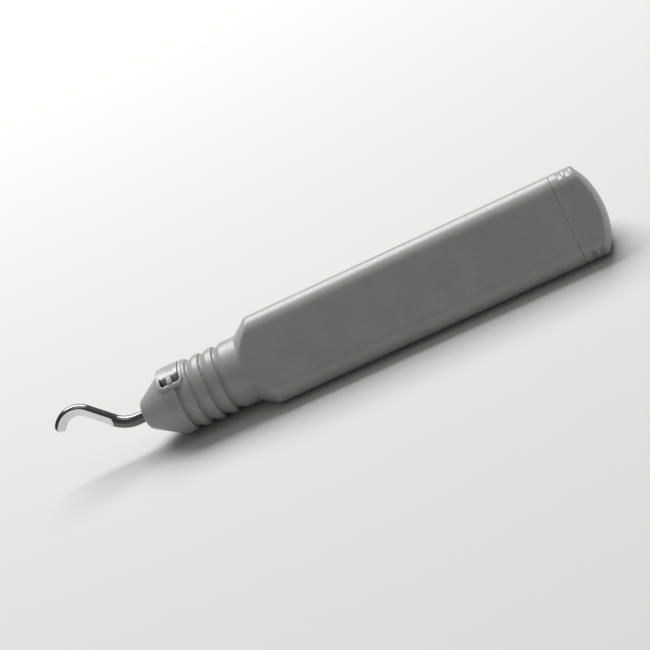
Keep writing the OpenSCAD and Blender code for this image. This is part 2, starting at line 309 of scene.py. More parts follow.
def soften_edges(piece: Piece, width: float, angle: float, strips: int = 3) -> None:
    """Rounds a piece's sharp edges.

    Args:
        piece: The mesh object.
        width: Width of the rounding, in millimetres.
        angle: Smallest angle between faces that counts as sharp, in degrees.
        strips: How many strips the rounding has.
    """
    take(piece)
    bevel = piece.modifiers.new("soften", "BEVEL")
    bevel.width = width * MM
    bevel.segments = strips
    bevel.limit_method = "ANGLE"
    bevel.angle_limit = math.radians(angle)
    bevel.use_clamp_overlap = True
    bpy.ops.object.modifier_apply(modifier=bevel.name)


def mark_edges(mesh: bpy.types.Mesh) -> None:
    """Stores how tightly the surface curves outwards at each point, for the wear on raised edges.

    Args:
        mesh: The finished mesh. The stored curvature is per millimetre.
    """
    count = len(mesh.vertices)
    spots, normals = np.empty(count * 3), np.empty(count * 3)
    mesh.vertices.foreach_get("co", spots)
    mesh.vertices.foreach_get("normal", normals)
    spots, normals = spots.reshape(-1, 3) / MM, normals.reshape(-1, 3)
    ends = np.empty(len(mesh.edges) * 2, dtype=int)
    mesh.edges.foreach_get("vertices", ends)
    ends = ends.reshape(-1, 2)
    bend, number = np.zeros(count), np.zeros(count)
    for here, there in (ends.T, ends.T[::-1]):
        span = spots[there] - spots[here]
        fall = -2.0 * (span * normals[here]).sum(axis=1) / np.maximum((span**2).sum(axis=1), TINY)
        np.add.at(bend, here, fall)
        np.add.at(number, here, 1.0)
    store_mark(mesh, "edge", bend / np.maximum(number, 1.0))


# Finishes


class Graph:
    """Adds and links the nodes of one material or node group."""

    def __init__(self, tree: bpy.types.NodeTree) -> None:
        """Takes the tree to fill."""
        self.tree = tree

    def feed(self, node: bpy.types.Node, values: dict[str | int, object]) -> None:
        """Sets input sockets of a node, or links output sockets to them.

        Args:
            node: The node.
            values: Value or output socket for each input, by name or number.
        """
        for key, value in values.items():
            socket = node.inputs[key]
            if isinstance(value, Socket):
                self.tree.links.new(value, socket)
            elif isinstance(value, tuple) and socket.type == "RGBA":
                socket.default_value = (*value, 1.0)
            else:
                socket.default_value = value

    def add(
        self, kind: str, inputs: dict[str | int, object] | None = None, **settings: object
    ) -> bpy.types.Node:
        """Adds a node.

        Args:
            kind: The node's type name, without its leading word.
            inputs: Values for input sockets, or output sockets to link to them.
            **settings: Properties of the node.

        Returns:
            The new node.
        """
        node = self.tree.nodes.new(kind if kind.startswith("NodeGroup") else "ShaderNode" + kind)
        for key, value in settings.items():
            setattr(node, key, value)
        self.feed(node, inputs or {})
        return node

    def math(self, one: object, other: object, how: str = "ADD") -> Socket:
        """Adds, subtracts or multiplies two values."""
        return self.add("Math", {0: one, 1: other}, operation=how).outputs[0]

    def swing(self, value: object, size: object) -> Socket:
        """Centres a value from 0 to 1 on zero and scales it."""
        return self.math(self.math(value, 0.5, "SUBTRACT"), size, "MULTIPLY")

    def ramp(self, value: object, low: float, high: float, to_low: float = 0.0) -> Socket:
        """Maps a value from a range to another that ends at 1, clamped."""
        span = {"Value": value, "From Min": low, "From Max": high, "To Min": to_low, "To Max": 1.0}
        return self.add("MapRange", span).outputs[0]

    def blend(self, share: object, one: object, other: object, how: str = "MIX") -> Socket:
        """Mixes two colours by a share."""
        colours = {0: share, 6: one, 7: other}
        return self.add("Mix", colours, data_type="RGBA", blend_type=how).outputs[2]

    def noise(self, scale: object, detail: float, vector: object | None = None) -> Socket:
        """Adds a noise texture on the object's own coordinates, or on another vector."""
        place = vector or self.add("TexCoord").outputs["Object"]
        inputs = {"Vector": place, "Scale": scale, "Detail": detail}
        return self.add("TexNoise", inputs).outputs[0]

    def effect(self, name: str, values: dict[str, object]) -> Outputs:
        """Places a shared effect, fed with its own values, and returns its outputs."""
        return self.add("Group", values, node_tree=bpy.data.node_groups[name]).outputs

    def mark(self, name: str) -> Socket:
        """Reads a number stored at the mesh's points."""
        return self.add("Attribute", attribute_name=name).outputs["Fac"]

    def bump(self, height: Socket, depth: float) -> Socket:
        """Turns a height of a depth in millimetres into a normal."""
        inputs = {"Height": height, "Distance": depth * MM, "Strength": 1.0}
        return self.add("Bump", inputs).outputs[0]


def group(
    name: str, inputs: dict[str, str], outputs: dict[str, str]
) -> tuple[Graph, Outputs, bpy.types.Node]:
    """Starts a shader node group.

    Args:
        name: The group's name.
        inputs: Socket type of each input, by name.
        outputs: Socket type of each output, by name.

    Returns:
        The group's graph, its inputs' sockets, and its output node.
    """
    tree = bpy.data.node_groups.new(name, "ShaderNodeTree")
    for way, sockets in (("INPUT", inputs), ("OUTPUT", outputs)):
        for key, kind in sockets.items():
            tree.interface.new_socket(key, in_out=way, socket_type="NodeSocket" + kind)
    graph = Graph(tree)
    return graph, graph.add("NodeGroupInput").outputs, graph.add("NodeGroupOutput")


class MarkRun(Enum):
    """Which way a metal's fine marks run, as their frequency along each row axis."""

    ROUND_TOOL = (7000.0, 160.0, 160.0)
    EVEN = (2600.0, 2600.0, 2600.0)


def build_grain() -> None:
    """Moulded skin: cloudy colour, uneven gloss and the texture left by a spark-cut mould."""
    graph, given, result = group(
        "moulded_grain",
        {"Colour": "Color", "Roughness": "Float", "Grain": "Float", "Cloud": "Float"},
        {"Colour": "Color", "Roughness": "Float", "Height": "Float"},
    )
    fine, broad = graph.noise(given["Grain"], 4.0), graph.noise(120.0, 3.0)
    dark = graph.blend(1.0, given["Colour"], (0.78, 0.78, 0.78), "MULTIPLY")
    cloud = graph.math(graph.swing(broad, given["Cloud"]), graph.swing(fine, 0.5))
    colour = graph.blend(graph.ramp(cloud, -0.22, 0.22), dark, given["Colour"])
    rough = graph.math(given["Roughness"], graph.swing(broad, 0.12))
    graph.feed(result, {"Colour": colour, "Roughness": rough, "Height": fine})


def build_wear() -> None:
    """Handling wear: raised edges rubbed lighter and smoother, broken up by noise."""
    look = {"Colour": "Color", "Roughness": "Float"}
    given = {"Worn": "Color", "Edge": "Float", "Amount": "Float"}
    graph, given, result = group("edge_wear", {**look, **given}, look)
    raised = graph.ramp(given["Edge"], 0.35, 1.6)
    patchy = graph.ramp(graph.noise(650.0, 4.0), 0.38, 0.66, 0.15)
    mask = graph.math(graph.math(raised, patchy, "MULTIPLY"), given["Amount"], "MULTIPLY")
    colour = graph.blend(mask, given["Colour"], given["Worn"])
    smoother = graph.math(mask, 0.12, "MULTIPLY")
    rough = graph.math(given["Roughness"], smoother, "SUBTRACT")
    graph.feed(result, {"Colour": colour, "Roughness": rough})


def build_marks() -> None:
    """Fine parallel marks that turning, drawing or grinding leaves in metal."""
    graph, given, result = group(
        "tool_marks",
        {"Stretch": "Vector", "Roughness": "Float", "Spread": "Float"},
        {"Roughness": "Float", "Height": "Float", "Mask": "Float"},
    )
    place = graph.add("TexCoord").outputs["Object"]
    stretched = graph.add("VectorMath", {0: place, 1: given["Stretch"]}, operation="MULTIPLY")
    lines = graph.noise(1.0, 4.0, stretched.outputs[0])
    rough = graph.math(given["Roughness"], graph.swing(lines, given["Spread"]))
    graph.feed(result, {"Roughness": rough, "Height": lines, "Mask": lines})


def dim(colour: Colour, share: float) -> Colour:
    """A colour, darkened to a share of itself."""
    return tuple(share * part for part in colour)


def start_material(name: str) -> tuple[Material, Graph, bpy.types.Node]:
    """Makes an empty material with its main shader.

    Args:
        name: The material's name.

    Returns:
        The material, its graph, and the main shader node.
    """
    material = bpy.data.materials.new(name)
    material.use_nodes = True
    material.node_tree.nodes.clear()
    graph = Graph(material.node_tree)
    shader = graph.add("BsdfPrincipled")
    graph.add("OutputMaterial", {0: shader.outputs[0]})
    return material, graph, shader


@dataclass(frozen=True)
class Finish:
    """A finish of the tool: its material's name and its colour."""

    name: str
    colour: Colour

    def material(self) -> Material:
        """Builds the material.

        Returns:
            The new material.
        """
        material, graph, shader = start_material(self.name)
        graph.feed(shader, self.sockets(graph))
        return material

    def sockets(self, graph: Graph) -> dict[str, object]:
        """Values and output sockets for the shader's sockets, by name."""
        raise NotImplementedError


@dataclass(frozen=True)
class MouldedSkin(Finish):
    """Moulded plastic or rubber with a fine mould texture and rubbed edges.

    Its grain is per metre and its depth in millimetres.
    """

    worn: Colour
    roughness: float
    grain: float = 2800.0
    depth: float = 0.022
    wear: float = 0.6
    cloud: float = 0.4

    def sockets(self, graph: Graph) -> dict[str, object]:
        """Grained skin, lighter and smoother where it is rubbed.

        Args:
            graph: The material's graph.

        Returns:
            Values and output sockets for the shader's sockets, by name.
        """
        plain = {"Colour": self.colour, "Roughness": self.roughness}
        skin = graph.effect("moulded_grain", {**plain, "Grain": self.grain, "Cloud": self.cloud})
        given = {key: skin[key] for key in plain}
        rubbed = {"Worn": self.worn, "Edge": graph.mark("edge"), "Amount": self.wear}
        worn = graph.effect("edge_wear", {**given, **rubbed})
        return {
            "Base Color": worn["Colour"],
            "Roughness": worn["Roughness"],
            "Normal": graph.bump(skin["Height"], self.depth),
        }


@dataclass(frozen=True)
class Steel(Finish):
    """Bare steel, darker in its fine marks, whose depth is in millimetres."""

    roughness: float
    run: MarkRun = MarkRun.EVEN
    spread: float = 0.25
    depth: float = 0.002
    dark: float = 0.72

    def lay(self, graph: Graph) -> tuple[Socket, Outputs]:
        """Lays the steel's marks in a material and returns its colour and the marks' outputs."""
        values = {"Stretch": self.run.value, "Roughness": self.roughness, "Spread": self.spread}
        marks = graph.effect("tool_marks", values)
        return graph.blend(marks["Mask"], dim(self.colour, self.dark), self.colour), marks

    def sockets(self, graph: Graph) -> dict[str, object]:
        """Bare metal with its marks.

        Args:
            graph: The material's graph.

        Returns:
            Values and output sockets for the shader's sockets, by name.
        """
        colour, marks = self.lay(graph)
        bump = graph.bump(marks["Height"], self.depth)
        rough = marks["Roughness"]
        return {"Base Color": colour, "Roughness": rough, "Normal": bump, "Metallic": 1.0}


@dataclass(frozen=True)
class BladeSteel(Steel):
    """Hardened blade steel: dark polished shank, bright where the blade is ground.

    The ground face, fresh-ground steel lightened into a painted highlight, is fully bright where
    the stored mark reaches the value of its edge.
    """

    # Near-white ground face: the bright tone of fresh grinding, raised further as a painted
    # highlight.
    face: Steel = Steel("ground_face_painted_highlight", (0.9, 0.9, 0.89), 0.3, MarkRun.ROUND_TOOL, 0.35, 0.004, 0.8)
    edge: float = 0.08

    def sockets(self, graph: Graph) -> dict[str, object]:
        """Shank with its painted dark reflection and ground faces with their painted highlight,
        parted by the mark stored at the blade's points.

        Args:
            graph: The material's graph.

        Returns:
            Values and output sockets for the shader's sockets, by name.
        """
        # Mask between the shank's painted dark reflection and the ground faces' painted highlight.
        mask = graph.ramp(graph.mark("ground"), 0.0, self.edge)
        (grey, shank), (bright, face) = self.lay(graph), self.face.lay(graph)
        change = graph.math(face["Roughness"], shank["Roughness"], "SUBTRACT")
        height = graph.math(face["Height"], mask, "MULTIPLY")
        return {
            "Base Color": graph.blend(mask, grey, bright),
            "Roughness": graph.math(shank["Roughness"], graph.math(change, mask, "MULTIPLY")),
            "Normal": graph.bump(height, self.face.depth),
            "Metallic": 1.0,
        }


def build_finishes() -> dict[str, Material]:
    """Builds every material of the tool once.

    Returns:
        The materials, by the record's slot or by the part that they are for.
    """
    for build in (build_grain, build_wear, build_marks):
        build()
    light, pale, dark = (0.38, 0.38, 0.376), (0.42, 0.42, 0.415), (0.05, 0.05, 0.05)
    black, wire, bush = (0.022, 0.022, 0.022), (0.5, 0.5, 0.5), (0.56, 0.56, 0.56)
    finishes = {
        "handle_plastic": MouldedSkin("moulded_grey_plastic", light, (0.56, 0.56, 0.55), 0.34),
        "button_plastic": MouldedSkin(
            "button_grey_plastic", pale, (0.6, 0.6, 0.59), 0.28, depth=0.015, wear=0.3
        ),
        "inner_plastic": MouldedSkin("dark_inner_plastic", dark, (0.12, 0.12, 0.12), 0.46),
        "seal_rubber": MouldedSkin("black_rubber", black, black, 0.68, 5200.0, 0.01, 0.0, 1.6),
        "bush": Steel("turned_bush_steel", bush, 0.24, MarkRun.ROUND_TOOL),
        "spring_steel": Steel("spring_wire", wire, 0.28),
        "ball": Steel("polished_ball_steel", (0.78, 0.78, 0.78), 0.08, spread=0.05, depth=0.0005),
        # The blade's near-black colour is a painted dark reflection, darker than bare steel's own
        # tone.
        "blade_steel": BladeSteel(
            "blade_steel_painted_dark_reflection", (0.2, 0.2, 0.205), 0.2, spread=0.22, dark=0.6
        ),
    }
    return {use: finish.material() for use, finish in finishes.items()}


# Sub-assemblies


@dataclass
class Assembly:
    """A sub-assembly of the tool: where it goes, what it is made of, and how its pieces start."""

    layout: Layout
    finishes: dict[str, Material]

    def wrap(self, name: str, rings: list[Array], ground: list[Array] | None = None) -> Piece:
        """Wraps a flat grid into a tube through rings of points, and closes its seam and ends.

        Args:
            name: The piece's name.
            rings: Arrays (columns, 3) of (station, y, z); the last column repeats the first.
            ground: For each ring, the mark of the ground faces to store at its points.

        Returns:
            The new object.
        """
        spots = np.array(rings)
        rows, columns = spots.shape[:2]
        deselect()
        bpy.ops.mesh.primitive_grid_add(
            x_subdivisions=columns - 1, y_subdivisions=rows - 1, size=1.0
        )
        piece = name_piece(name)
        flat = np.empty(len(piece.data.vertices) * 3)
        piece.data.vertices.foreach_get("co", flat)
        flat = flat.reshape(-1, 3)
        column = np.rint((flat[:, 0] + 0.5) * (columns - 1)).astype(int)
        row = np.rint((flat[:, 1] + 0.5) * (rows - 1)).astype(int)
        piece.data.vertices.foreach_set("co", self.layout.place(spots[row, column]).ravel())
        if ground:
            store_mark(piece.data, "ground", np.array(ground)[row, column])
        bpy.ops.object.mode_set(mode="EDIT")
        bpy.ops.mesh.select_all(action="SELECT")
        bpy.ops.mesh.remove_doubles(threshold=MERGE)
        bpy.ops.mesh.normals_make_consistent(inside=False)
        bpy.ops.object.mode_set(mode="OBJECT")
        return piece

    def block(self, name: str, low: Place, high: Place, corner: float = 0.0) -> Piece:
        """Adds a block, with its upright edges rounded.

        Args:
            name: The piece's name.
            low: Lowest (station, y, z).
            high: Highest (station, y, z).
            corner: Radius of the upright edges.

        Returns:
            The new object.
        """
        deselect()
        middle = self.layout.place((np.array(low) + np.array(high)) / 2)
        size = (np.array(high) - np.array(low)) * MM
        bpy.ops.mesh.primitive_cube_add(size=1.0, location=middle, scale=size)
        piece = name_piece(name)
        if corner:
            bpy.ops.object.mode_set(mode="EDIT")
            bpy.ops.mesh.select_all(action="DESELECT")
            bpy.ops.mesh.select_mode(type="EDGE")
            mesh = bmesh.from_edit_mesh(piece.data)
            for edge in mesh.edges:
                one, other = (v.co for v in edge.verts)
                edge.select_set((one.xy - other.xy).length < TINY * 0.1)
            bmesh.update_edit_mesh(piece.data)
            bpy.ops.mesh.bevel(offset=corner * MM, segments=7, affect="EDGES")
            bpy.ops.object.mode_set(mode="OBJECT")
        return piece

    def rod(
        self, name: str, start: Place, length: float, radius: float, way: Way, sides: int
    ) -> Piece:
        """Adds a round rod, used as a cutter or as a crown.

        Args:
            name: The piece's name.
            start: Centre of its first end, as (station, y, z).
            length: Its length.
            radius: Its radius.
            way: Which way it runs.
            sides: How many sides it has.

        Returns:
            The new object.
        """
        deselect()
        run, rotation = way.value
        middle = self.layout.place(np.array(start) + np.array(run) * length / 2)
        bpy.ops.mesh.primitive_cylinder_add(
            vertices=sides,
            radius=radius * MM,
            depth=length * MM,
            location=middle,
            rotation=rotation,
        )
        return name_piece(name)

    def hand_over(self, piece: Piece, crease: float, body: str, slot: str, node: str) -> None:
        """Shades and dresses a finished piece and ties it to the frame.

        Args:
            piece: The finished mesh object.
            crease: Smallest angle between faces that stays sharp, in degrees.
            body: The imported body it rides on.
            slot: The record's material slot it takes its finish from.
            node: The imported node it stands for.
        """
        take(piece)
        bpy.ops.object.shade_smooth_by_angle(angle=math.radians(crease))
        piece.data.materials.clear()
        piece.data.materials.append(self.finishes[slot])
        mark_edges(piece.data)
        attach(piece, body)
        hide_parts(node)
        LOG.info("%s: %d faces on %s", piece.name, len(piece.data.polygons), body)


@dataclass
class Handle(Assembly):
    """Moulded handle: spigot, neck band, shoulder and three-sided grip with the store inside it."""

    around: int = 240
    spigot_r: float = 7.17
    spigot_bore: float = 5.2
    bore_end: float = 32.75
    groove_floor: float = 8.1
    groove_end: float = 25.45
    shoulder_at: float = 29.75
    shoulder_slope: float = math.radians(37)
    press_run: float = 0.9
    press_depth: float = 3.0
    envelope: float = 1.5
    store_at: float = 35.92
    wall: float = 2.0
    crease: float = 0.35
    rim: float = 0.25

    def outside(self) -> Profile:
        """Envelope of the outside, from the seam back, before its flats are pressed in.

        Returns:
            The profile's points.
        """
        lay, neck = self.layout, self.layout.neck_r
        top = lay.corner_reach + self.envelope
        shoulder_end = self.shoulder_at + (top - neck) / math.tan(self.shoulder_slope)
        points = rounded_profile(
            [
                (lay.seam, self.groove_floor, 0.0),
                (lay.seam + 0.4, self.groove_floor, 0.3),
                (self.groove_end, neck, 0.45),
                (self.shoulder_at, neck, 0.35),
                (shoulder_end, top, 0.4),
                (lay.grip_end - self.rim, top, 0.0),
            ]
        )
        near = [p for p in points if p[0] < shoulder_end + 1]
        return divided(near, 0.3) + divided([near[-1], *points[len(near) :]], 2.5)[1:]

    def build(self) -> None:
        """Models the handle and hands it over."""
        lay, angles = self.layout, turn(self.around)
        bore = [
            (self.bore_end, 0.0, 0.0),
            (self.bore_end, self.spigot_bore, 0.3),
            (lay.spigot_at, self.spigot_bore, 0.2),
            (lay.spigot_at, self.spigot_r, 0.35),
            (lay.seam, self.spigot_r, 0.0),
            (lay.seam, self.groove_floor, 0.0),
        ]
        rings = [ring(angles, *point) for point in rounded_profile(bore)]
        flats, end = triangle(angles, lay.flat_r, lay.corner_r), lay.grip_end
        for station, radius in self.outside():
            away = 1.0 - smooth_step((station - self.shoulder_at) / self.press_run + 1.0)
            sides = flats + away * self.press_depth
            rings.append(ring(angles, station, soft_min(radius, sides, self.crease)))
        rim = [(0.0, self.rim), (0.06, 0.08), (self.rim, 0.0)]
        rim += [(self.wall - 0.3, 0.0), (self.wall - 0.08, 0.08), (self.wall, 0.3)]
        rings += [lay.side_ring(angles, end - back, inset) for inset, back in rim]
        for station in np.linspace(end - 1.0, self.store_at, 24):
            rings.append(lay.side_ring(angles, station, self.wall))
        rings.append(ring(angles, self.store_at, 0.0))
        piece = self.wrap("handle_shell", rings)
        self.hand_over(piece, 40.0, "handle", "handle_plastic", "handle_body")


@dataclass
class Nose(Assembly):
    """Tapered nose with finger grooves and a raised frame round the button's window."""

    around: int = 288
    front_r: float = 3.4
    taper_end: float = 8.3
    first_groove: float = 11.5
    groove_pitch: float = 3.85
    groove_count: int = 4
    groove_depth: float = 0.9
    groove_run: float = 2.4
    cavity_r: float = 7.2
    cavity_at: float = 7.65
    boss_r: float = 4.03
    boss_at: float = 3.5
    bush_bore: float = 2.23
    window_at: float = 11.1
    window_len: float = 5.4
    window_w: float = 10.6
    window_corner: float = 0.8
    cutter_low: float = 1.5
    cutter_high: float = 13.0
    frame_w: float = 0.9
    frame_proud: float = 0.3
    frame_skirt: float = 0.12
    frame_round: float = 0.4
    lip_w: float = 0.25
    lip_drop: float = 0.12

    def outline(self) -> Profile:
        """Outside profile, from the front face to the rear face, with lands and grooves.

        Returns:
            The profile's points.
        """
        neck = self.layout.neck_r
        floor = neck - self.groove_depth
        corners = [
            (0.0, self.bush_bore, 0.0),
            (0.0, self.front_r, 0.35),
            (0.4, self.front_r + 0.6, 0.5),
            (self.taper_end, neck, 0.9),
        ]
        for index in range(self.groove_count):
            start = self.first_groove + index * self.groove_pitch
            corners += [(start, neck, 0.2), (start + 0.2, floor, 0.2)]
            corners += [(start + 0.6, floor, 0.25), (start + self.groove_run, neck, 0.45)]
        # The last groove stops at its floor, where the nose meets the handle.
        return divided(rounded_profile(corners[:-2]), 0.2)

    def frame_lift(self, angles: Array, station: float, radius: float) -> Array:
        """Raises the skin into the frame round the window.

        Args:
            angles: Angles round the axis.
            station: The ring's station.
            radius: The ring's plain radius.

        Returns:
            The raised radius at each angle.
        """
        crest = self.layout.neck_r + self.frame_proud
        corner = self.window_corner + self.frame_w
        inner_len, inner_w = (
            side / 2 + self.frame_w - corner for side in (self.window_len, self.window_w)
        )
        gap_x = np.abs(station - self.window_at) - inner_len
        gap_y = np.abs(crest * np.cos(angles)) - inner_w
        outside = np.hypot(np.maximum(gap_x, 0.0), np.maximum(gap_y, 0.0))
        outside = outside + np.minimum(np.maximum(gap_x, gap_y), 0.0) - corner
        raised = np.clip((self.frame_skirt - outside) / self.frame_round, 0.0, 1.0)
        raised = np.sqrt(1.0 - (1.0 - raised) ** 2) * (np.sin(angles) > 0)
        lip = np.clip((self.lip_w - outside - self.frame_w) / self.lip_w, 0.0, 1.0) ** 2
        lifted = radius + (crest - lip * self.lip_drop - radius) * raised
        return np.maximum(radius, lifted)

    def build(self) -> None:
        """Models the nose and hands it over."""
        lay, angles = self.layout, turn(self.around)
        inside = rounded_profile(
            [
                (lay.seam, lay.neck_r - self.groove_depth, 0.0),
                (lay.seam, self.cavity_r, 0.2),
                (self.cavity_at, self.cavity_r, 0.3),
                (self.cavity_at, self.boss_r, 0.2),
                (self.boss_at, self.boss_r, 0.2),
                (self.boss_at, self.bush_bore, 0.1),
                (0.0, self.bush_bore, 0.0),
            ],
            3,
        )
        skin = [ring(angles, s, self.frame_lift(angles, s, r)) for s, r in self.outline()]
        bore = [ring(angles, *point) for point in divided(inside, 1.2)[1:]]
        piece = self.wrap("nose_shell", skin + bore)
        half_len, half_w = self.window_len / 2, self.window_w / 2
        cutter = self.block(
            "window_cutter",
            (self.window_at - half_len, -half_w, self.cutter_low),
            (self.window_at + half_len, half_w, self.cutter_high),
            self.window_corner,
        )
        join(piece, cutter, Join.CUT)
        self.hand_over(piece, 38.0, "handle", "handle_plastic", "nose_cone")


@dataclass
class ReleaseButton(Assembly):
    """Push button with a dished crown, a guide rib on each long side and a retaining flange."""

    at: float = 11.1
    length: float = 5.1
    width: float = 7.0
    corner: float = 0.8
    rib_w: float = 1.3
    rib_span: float = 10.3
    flange_z: float = 5.15
    flange_t: float = 0.8
    flange_len: float = 6.6
    flange_w: float = 7.8
    travel: float = 1.8
    dish_r: float = 12.0
    dish_depth: float = 0.28
    slot_w: float = 1.0
    spring_at: float = 1.75
    pocket_r: float = 1.0
    softened: float = 0.16

    def solid(
        self, name: str, length: float, width: float, top: float, low: float, corner: float = 0.0
    ) -> Piece:
        """Adds a block round the button's middle, with its upright edges rounded by a corner."""
        least = (self.at - length / 2, -width / 2, low)
        return self.block(name, least, (self.at + length / 2, width / 2, top), corner)

    def build(self) -> None:
        """Models the button and hands it over."""
        top, low, wide = self.layout.button_top, self.flange_z, self.width
        spare = 1.0
        piece = self.solid("button", self.length, wide, top + spare, low, self.corner)
        join(piece, self.solid("rib", self.rib_w, self.rib_span, top + spare, low), Join.ADD)
        crown = self.rod("crown", (0.0, 0.0, 0.0), 24.0, top, Way.ALONG, 240)
        join(piece, crown, Join.KEEP)
        dish_at = (self.at, -wide, top - self.dish_depth + self.dish_r)
        dish = self.rod("dish", dish_at, 2 * wide, self.dish_r, Way.ACROSS, 256)
        join(piece, dish, Join.CUT)
        flange = self.solid("flange", self.flange_len, self.flange_w, low + self.flange_t, low)
        join(piece, flange, Join.ADD)
        slot = self.solid("slot", self.slot_w, wide, low + self.travel, low - spare)
        join(piece, slot, Join.CUT)
        for side in (-1, 1):
            start = (self.at + side * self.spring_at, 0.0, low - spare)
            pocket = self.rod("pocket", start, self.travel + spare, self.pocket_r, Way.UP, 40)
            join(piece, pocket, Join.CUT)
        soften_edges(piece, self.softened, 40.0)
        self.hand_over(piece, 34.0, "button", "button_plastic", "release_button")


@dataclass
class ButtonSprings(Assembly):
    """The two coil springs that return the button."""

    at: float = 11.1
    spread: float = 1.75
    mean_r: float = 0.75
    wire_r: float = 0.15
    low: float = 2.3
    high: float = 6.95
    turns: float = 5.0
    steps_per_turn: int = 28
    wire_sides: int = 10
    closed_turns: float = 0.17
    closed_rise: float = 0.07
    travel: float = 1.8

    def build(self) -> None:
        """Models each spring and hands it over."""
        around, wire = turn(self.wire_sides), self.wire_r
        share = np.linspace(0.0, 1.0, int(self.turns * self.steps_per_turn) + 1)
        sweep = share * self.turns * 2 * math.pi
        turned = [0, self.closed_turns, 1 - self.closed_turns, 1]
        risen = [0, self.closed_rise, 1 - self.closed_rise, 1]
        lift = np.interp(share, turned, risen) * (self.high - self.low - 2 * wire)
        thick = np.full_like(share, wire)
        thick[[0, -1]] = 0.0
        for number, side in ((1, -1), (2, 1)):
            rings = []
            for angle, z, size in zip(sweep, lift, thick):
                out = self.mean_r + size * np.cos(around)
                station = self.at + side * self.spread + out * math.cos(angle)
                height = self.low + wire + z + size * np.sin(around)
                rings.append(np.stack([station, out * math.sin(angle), height], axis=-1))
            rings.insert(1, rings[0] + (rings[1] - rings[1].mean(0)))
            rings.insert(-1, rings[-1] + (rings[-2] - rings[-2].mean(0)))
            piece = self.wrap(f"button_spring_{number}", rings)
            self.hand_over(piece, 60.0, "handle", "spring_steel", "button_springs")
            anchor = tuple(self.layout.place(np.array([self.at, 0.0, self.low])).tolist())
            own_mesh(piece)


